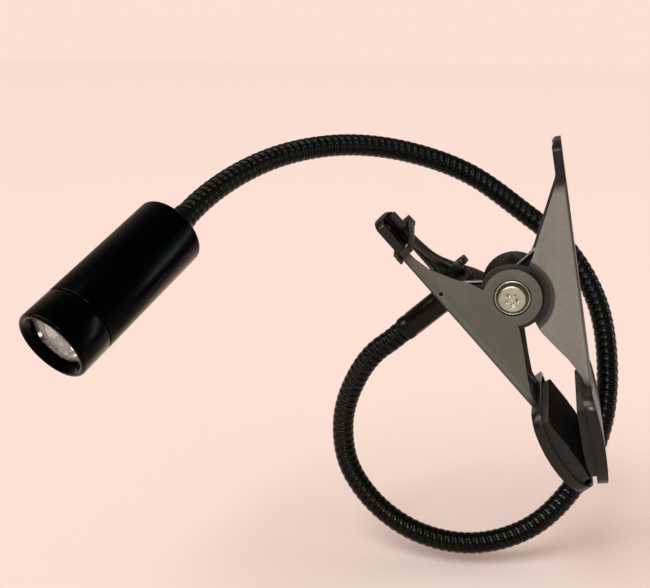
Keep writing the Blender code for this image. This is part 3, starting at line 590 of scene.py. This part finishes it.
black_steel = dark_metal("blackened_wound_steel", "#1A1C1B", "#232524", 0.24, 0.29, 0.0012,
                         (1.0, 1.0, 0.4), 0.03)
FERRULE_LENGTH, HEAD_FERRULE = 0.0200, 0.0090
HEAD_REAR = PIVOT + Vector((-0.1085, -0.0373, 0.0226))
HEAD_AXIS = Vector((0.302, 0.848, 0.435)).normalized()
neck_base = ROOT_PLACE @ Vector((-0.0125, 0.0, -ROOT_WEB))
neck_out = -(ROOT_PLACE.to_3x3() @ Vector((0.0, 0.0, 1.0)))


def stand(place, direction):
    return Matrix.Translation(place) @ direction.to_track_quat("Z", "Y").to_matrix().to_4x4()


BASE_PLACE = stand(neck_base, neck_out)
crimp = [(0.00415, FERRULE_LENGTH - 0.0003), (0.00432, FERRULE_LENGTH - 0.0006),
         (0.00440, FERRULE_LENGTH - 0.0012), (0.00440, FERRULE_LENGTH - 0.0030),
         (0.00425, FERRULE_LENGTH - 0.0034), (0.00425, FERRULE_LENGTH - 0.0044),
         (0.00440, FERRULE_LENGTH - 0.0048), (0.00440, 0.0040), (0.00450, 0.0024), (0.00470, 0.0014),
         (0.00475, 0.0006), (0.00460, 0.0003)]
ferrule_line = [(0.0, FERRULE_LENGTH - 0.0003)] + crimp + [
    (0.0030, 0.0003), (0.0030, -0.0068), (0.0019, -0.0068), (0.0019, 0.0040), (0.0, 0.0045)]
finish_piece("base_ferrule_turned", turned_shape(ferrule_line, 72, closed=False), black_steel, "root_clip",
             ("base_ferrule",), BASE_PLACE)
for node in ("lock_washer", "base_nut", "head_nut"):
    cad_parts[node].material_slots[0].material = zinc

middle = [(-0.0462, 0.0, -0.0255), (-0.0560, 0.0020, -0.0410), (-0.0602, 0.0040, -0.0580),
          (-0.0575, 0.0045, -0.0760), (-0.0470, 0.0030, -0.0895), (-0.0300, 0.0010, -0.0985),
          (-0.0090, 0.0035, -0.1015), (0.0110, 0.0095, -0.0955), (0.0265, 0.0190, -0.0805),
          (0.0350, 0.0290, -0.0600), (0.0357, 0.0370, -0.0380), (0.0300, 0.0445, -0.0145),
          (0.0170, 0.0490, 0.0045), (-0.0010, 0.0500, 0.0185), (-0.0210, 0.0480, 0.0318),
          (-0.0430, 0.0405, 0.0402), (-0.0640, 0.0270, 0.0440), (-0.0820, 0.0105, 0.0425)]
tail = HEAD_REAR + HEAD_AXIS * HEAD_FERRULE
neck_knots = [neck_base + neck_out * FERRULE_LENGTH, neck_base + neck_out * (FERRULE_LENGTH + 0.006)]
neck_knots += [PIVOT + Vector(point) for point in middle]
neck_knots += [tail + HEAD_AXIS * 0.008, tail]
NECK_STEPS = 2000
neck_route, neck_length = smooth_route(neck_knots, NECK_STEPS, by_spacing=True)
neck_frames = carried_frames(neck_route)

TURNS_IN_ALL = 162
PITCH = neck_length / TURNS_IN_ALL           # 2.7 mm, one round wire and one wedge wire
AROUND = 32
# one turn's section: share of the pitch, radius
SECTION = [(0.00, 0.00358), (0.03, 0.00366), (0.07, 0.00388), (0.14, 0.00397), (0.24, 0.00400),
           (0.38, 0.00401), (0.52, 0.00400), (0.64, 0.00396), (0.70, 0.00386), (0.73, 0.00376),
           (0.76, 0.00383), (0.84, 0.00391), (0.92, 0.00388), (0.97, 0.00368), (1.00, 0.00358)]
LAST_TURN = [35, 58, 81, 104, 127, 162]      # each length of the neck ends midway between two joints


def neck_piece(number, first_turn, last_turn):
    """Wind the section into a straight helix, then lay it along the route."""
    shape = bmesh.new()
    line = [shape.verts.new((radius, 0.0, (first_turn + share) * PITCH)) for share, radius in SECTION]
    edges = [shape.edges.new(pair) for pair in zip(line, line[1:])]
    turns = last_turn - first_turn
    bmesh.ops.spin(shape, geom=line + edges, cent=(0, 0, 0), axis=(0, 0, 1), angle=turns * 2 * math.pi,
                   steps=turns * AROUND, dvec=(0.0, 0.0, PITCH / AROUND))
    bmesh.ops.remove_doubles(shape, verts=shape.verts, dist=0.00002)
    for height, outer in ((0.0, False), (neck_length, True)):
        bmesh.ops.bisect_plane(shape, geom=shape.verts[:] + shape.edges[:] + shape.faces[:], dist=0.000001,
                               plane_co=(0.0, 0.0, height), plane_no=(0.0, 0.0, 1.0),
                               clear_outer=outer, clear_inner=not outer)
    bmesh.ops.holes_fill(shape, edges=[edge for edge in shape.edges if edge.is_boundary], sides=0)
    bmesh.ops.recalc_face_normals(shape, faces=shape.faces)
    own = shape.verts.layers.float_vector.new("own")
    for vert in shape.verts:
        vert[own] = vert.co
        place = min(max(vert.co.z / neck_length, 0.0), 1.0) * NECK_STEPS
        index = min(int(place), NECK_STEPS - 1)
        near = neck_frames[index] @ Vector((vert.co.x, vert.co.y, 0.0))
        far = neck_frames[index + 1] @ Vector((vert.co.x, vert.co.y, 0.0))
        vert.co = near.lerp(far, place - index)
    name = f"gooseneck_length_{number}"
    nodes = (f"neck_{number}", f"neck_{number + 1}")
    thing = finish_piece(name, shape, black_steel, None, nodes, sharp=60.0, ride=False)
    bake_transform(thing)
    return thing


first = -1
for number, last in enumerate(LAST_TURN, 1):
    neck_piece(number, first, last)
    first = last


# ---------------------------------------------------------------- head
# The spot head is turned from aluminium bar and black anodised: a plain barrel, a screwed bezel with
# a coned mouth, and a crimped ferrule for the neck. It closes on an O ring.

anodised = dark_metal("black_anodised_aluminium", "#050607", "#0A0C0D", 0.18, 0.24, 0.0003,
                      (0.03, 0.03, 1.0), 0.06)
HEAD_PLACE = stand(HEAD_REAR, HEAD_AXIS)
RADIUS, FRONT, BEZEL = 0.0120, -0.0567, 0.0117
JOINT = FRONT + BEZEL
SPIGOT = RADIUS - 0.0014
LENS_FRONT = FRONT + 0.0026
LENS_BACK = LENS_FRONT + 0.0018


def round_over(radius, height, size, start, steps=5):
    """Points of a quarter round about (radius, height), from an angle in degrees."""
    turns = [math.radians(start + 90 * step / steps) for step in range(steps + 1)]
    return [(radius + size * math.cos(turn), height + size * math.sin(turn)) for turn in turns]


barrel = [(0.0034, 0.0), (0.0100, 0.0)]
barrel += list(reversed(round_over(RADIUS - 0.0011, -0.0011, 0.0011, 0)))
barrel += [(RADIUS, -0.0016), (RADIUS, -0.02), (RADIUS, JOINT + 0.0009), (RADIUS - 0.0001, JOINT + 0.0006),
           (RADIUS - 0.0003, JOINT + 0.0004), (SPIGOT, JOINT + 0.0004), (SPIGOT, JOINT - 0.0045),
           (SPIGOT - 0.0010, JOINT - 0.0045), (SPIGOT - 0.0010, JOINT + 0.0060), (SPIGOT, JOINT + 0.0066),
           (SPIGOT, -0.0024), (0.0034, -0.0024)]
finish_piece("head_barrel", turned_shape(barrel, 160), anodised, "head", ("head_housing",),
             HEAD_PLACE)

MOUTH = 0.0091
bezel = [(SPIGOT + 0.0003, JOINT), (RADIUS - 0.0003, JOINT), (RADIUS - 0.0001, JOINT - 0.0002),
         (RADIUS, JOINT - 0.0005), (RADIUS, FRONT + 0.0010)]
bezel += [(RADIUS - 0.0010 + 0.0010 * math.cos(math.radians(a)),
           FRONT + 0.0010 - 0.0010 * math.sin(math.radians(a))) for a in (18, 36, 54, 72, 90)]
bezel += [(RADIUS - 0.0014, FRONT + 0.0001), (RADIUS - 0.0018, FRONT + 0.0005),
          (MOUTH + 0.0003, LENS_FRONT - 0.0010), (MOUTH, LENS_FRONT - 0.0006),
          (MOUTH, LENS_FRONT - 0.0003), (SPIGOT - 0.0001, LENS_FRONT - 0.0003),
          (SPIGOT - 0.0001, JOINT - 0.0050), (SPIGOT + 0.0003, JOINT - 0.0048)]
finish_piece("screwed_bezel", turned_shape(bezel, 160), anodised, "head", ("bezel_ring",),
             HEAD_PLACE)

collar = [(0.0, HEAD_FERRULE - 0.0003), (0.00415, HEAD_FERRULE - 0.0003), (0.00430, HEAD_FERRULE - 0.0008),
          (0.00430, HEAD_FERRULE - 0.0020), (0.00418, HEAD_FERRULE - 0.0023),
          (0.00418, HEAD_FERRULE - 0.0030), (0.00430, HEAD_FERRULE - 0.0033), (0.00430, 0.0006),
          (0.00420, 0.0003), (0.0031, 0.0003),
          (0.0031, -0.0062), (0.0019, -0.0062), (0.0019, 0.0030), (0.0, 0.0034)]
finish_piece("head_ferrule_turned", turned_shape(collar, 72, closed=False), black_steel, "head",
             ("head_ferrule",), HEAD_PLACE)


# The optic: a slightly domed polycarbonate window, and behind it a moulded reflector whose facets are
# vacuum metallised, round a phosphor-covered LED on its aluminium board.

clear, clear_shader = new_material("clear_polycarbonate", Base_Color=paint("#F6FAFA"), Roughness=0.03,
                                   IOR=1.45, Transmission_Weight=1.0)
clear_own = add_node(clear, "ShaderNodeAttribute", attribute_name="own")
ripple = add_node(clear, "ShaderNodeTexNoise", {"Vector": clear_own.outputs["Vector"], "Scale": 1 / 0.006})
ripple_bump = add_node(clear, "ShaderNodeBump", {"Height": ripple.outputs["Fac"], "Strength": 0.15,
                                                 "Distance": 0.0001})
clear.node_tree.links.new(ripple_bump.outputs["Normal"], clear_shader.inputs["Normal"])
dome = [(0.0, LENS_FRONT - 0.0004)]
dome += [(r, LENS_FRONT - 0.0004 + 0.0009 * (r / 0.0098) ** 2)
         for r in (0.002, 0.004, 0.006, 0.008, 0.0090)]
dome += [(0.0094, LENS_FRONT + 0.0005), (0.0098, LENS_FRONT + 0.0008),
         (0.0098, LENS_BACK), (0.0, LENS_BACK)]
finish_piece("domed_lens", turned_shape(dome, 96, closed=False), clear, "head", ("lens",),
             HEAD_PLACE)

mirror, mirror_shader = new_material("vacuum_metallised_reflector", Metallic=1.0)
mirror_own = add_node(mirror, "ShaderNodeAttribute", attribute_name="own")
mirror_haze = add_node(mirror, "ShaderNodeTexNoise", {"Vector": mirror_own.outputs["Vector"],
                                                      "Scale": 1 / 0.0012})
mirror_tone = add_node(mirror, "ShaderNodeMix", {"Factor": mirror_haze.outputs["Fac"]}, data_type="RGBA")
mirror_tone.inputs["A"].default_value = paint("#8F908B")
mirror_tone.inputs["B"].default_value = paint("#F4F4EF")
mirror_gloss = add_node(mirror, "ShaderNodeMapRange", {"Value": mirror_haze.outputs["Fac"],
                                                       "To Min": 0.03, "To Max": 0.10})
mirror.node_tree.links.new(mirror_tone.outputs["Result"], mirror_shader.inputs["Base Color"])
mirror.node_tree.links.new(mirror_gloss.outputs["Result"], mirror_shader.inputs["Roughness"])

CUP = LENS_BACK + 0.0003
FACETS = 18
cup_line = [(0.0090, CUP), (0.0083, CUP + 0.0022), (0.0071, CUP + 0.0046), (0.0056, CUP + 0.0070),
            (0.0038, CUP + 0.0089), (0.0024, CUP + 0.0098), (0.0032, CUP + 0.0104), (0.0056, CUP + 0.0092),
            (0.0084, CUP + 0.0046), (0.0094, CUP + 0.0010), (0.0094, CUP)]
cup = turned_shape(cup_line, FACETS * 2)
for vert in cup.verts:
    radius = math.hypot(vert.co.x, vert.co.y)
    if 0.0030 < radius < 0.0088 and vert.co.z < CUP + 0.0090 and radius < 0.0092 - 0.55 * (vert.co.z - CUP):
        turn = math.atan2(vert.co.y, vert.co.x)
        step = round(turn / (math.pi / FACETS)) + round((vert.co.z - CUP) / 0.0023)
        vert.co.z += 0.00035 * (1 if step % 2 else -1)
finish_piece("faceted_reflector", cup, mirror, "head", ("reflector",), HEAD_PLACE, 4.0)

phosphor, phosphor_shader = new_material("silicone_over_phosphor", Roughness=0.25, Coat_Weight=0.6)
phosphor_place = add_node(phosphor, "ShaderNodeTexCoord")
grains = add_node(phosphor, "ShaderNodeTexNoise", {"Vector": phosphor_place.outputs["Object"],
                                                   "Scale": 1 / 0.0002, "Detail": 3.0})
phosphor_tone = add_node(phosphor, "ShaderNodeMix", {"Factor": grains.outputs["Fac"]}, data_type="RGBA")
phosphor_tone.inputs["A"].default_value = paint("#D8B83C")
phosphor_tone.inputs["B"].default_value = paint("#F2DE78")
phosphor.node_tree.links.new(phosphor_tone.outputs["Result"], phosphor_shader.inputs["Base Color"])
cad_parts["led_emitter"].material_slots[0].material = phosphor


# Hidden works: the board and heat sink are bare aluminium, the driver board is epoxy glass with a
# green mask, its choke is moulded ferrite, and the seal is nitrile rubber.

def plain_finish(name, low, high, rough, metallic, grain, bump=0.2):
    """A finish for small moulded or bare parts, with the fine cloudiness of its process."""
    material, shader = new_material(name, Metallic=metallic)
    place = add_node(material, "ShaderNodeTexCoord")
    cloud = add_node(material, "ShaderNodeTexNoise", {"Vector": place.outputs["Object"],
                                                      "Scale": 1 / grain, "Detail": 4.0})
    tone = add_node(material, "ShaderNodeMix", {"Factor": cloud.outputs["Fac"]}, data_type="RGBA")
    tone.inputs["A"].default_value = paint(low)
    tone.inputs["B"].default_value = paint(high)
    gloss = add_node(material, "ShaderNodeMapRange", {"Value": cloud.outputs["Fac"],
                                                      "To Min": rough - 0.08, "To Max": rough + 0.08})
    grainy = add_node(material, "ShaderNodeBump", {"Height": cloud.outputs["Fac"], "Strength": bump,
                                                   "Distance": 0.00003})
    for source, target in ((tone.outputs["Result"], "Base Color"), (gloss.outputs["Result"], "Roughness"),
                           (grainy.outputs["Normal"], "Normal")):
        material.node_tree.links.new(source, shader.inputs[target])
    return material


bare_aluminium = plain_finish("bare_turned_aluminium", "#B4B5B8", "#CFD0D2", 0.32, 1.0, 0.0004)
for node in ("led_board", "heat_sink"):
    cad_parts[node].material_slots[0].material = bare_aluminium
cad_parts["driver_board"].material_slots[0].material = plain_finish(
    "green_solder_mask", "#0E4A22", "#17602F", 0.40, 0.0, 0.0010)
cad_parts["driver_choke"].material_slots[0].material = plain_finish(
    "moulded_ferrite", "#1C1B1B", "#2A2929", 0.60, 0.0, 0.0005)
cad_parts["bezel_seal"].material_slots[0].material = plain_finish(
    "nitrile_o_ring", "#0C0C0C", "#161616", 0.65, 0.0, 0.0006)


# ---------------------------------------------------------------- lead and its ties
# The lead leaves the back of the base nut, runs along the far side of the handle and ends in a moulded
# DC socket. Two nylon ties hold it, one round the handle's end and one through the near cheek.

jacket = plain_finish("black_pvc_jacket", "#0A0A0A", "#141413", 0.38, 0.0, 0.0015)
LEAD_RADIUS = 0.0015
LEAD_FLOOR = -ROOT_WEB
lead_knots = [(-0.0125, 0.0, 0.0078), (-0.0130, 0.0040, 0.0100), (-0.0146, 0.0078, 0.0090),
              (-0.0180, 0.0083, 0.0070), (-0.0250, 0.0078, 0.0042), (-0.0300, 0.0074, 0.0033),
              (-0.0360, 0.0062, 0.0030), (-0.0398, 0.0056, 0.0030)]
lead_route = smooth_route([Vector((u, y, LEAD_FLOOR + v)) for u, y, v in lead_knots], 60)[0]
finish_piece("pvc_lead", swept_shape(lead_route, LEAD_RADIUS, 24), jacket, "root_clip",
             ("lead_cable",), ROOT_PLACE)
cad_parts["dc_socket"].material_slots[0].material = plain_finish(
    "moulded_socket_pvc", "#0B0B0B", "#151515", 0.50, 0.0, 0.0008)

nylon = plain_finish("moulded_black_nylon", "#090909", "#121211", 0.33, 0.0, 0.0007)
for node, name in (("handle_tie", "handle_cable_tie"), ("cheek_tie", "cheek_cable_tie")):
    finish_piece(name, round_edges(copy_of(node), 0.00018, 2, 40.0), nylon, "root_clip", (node,))
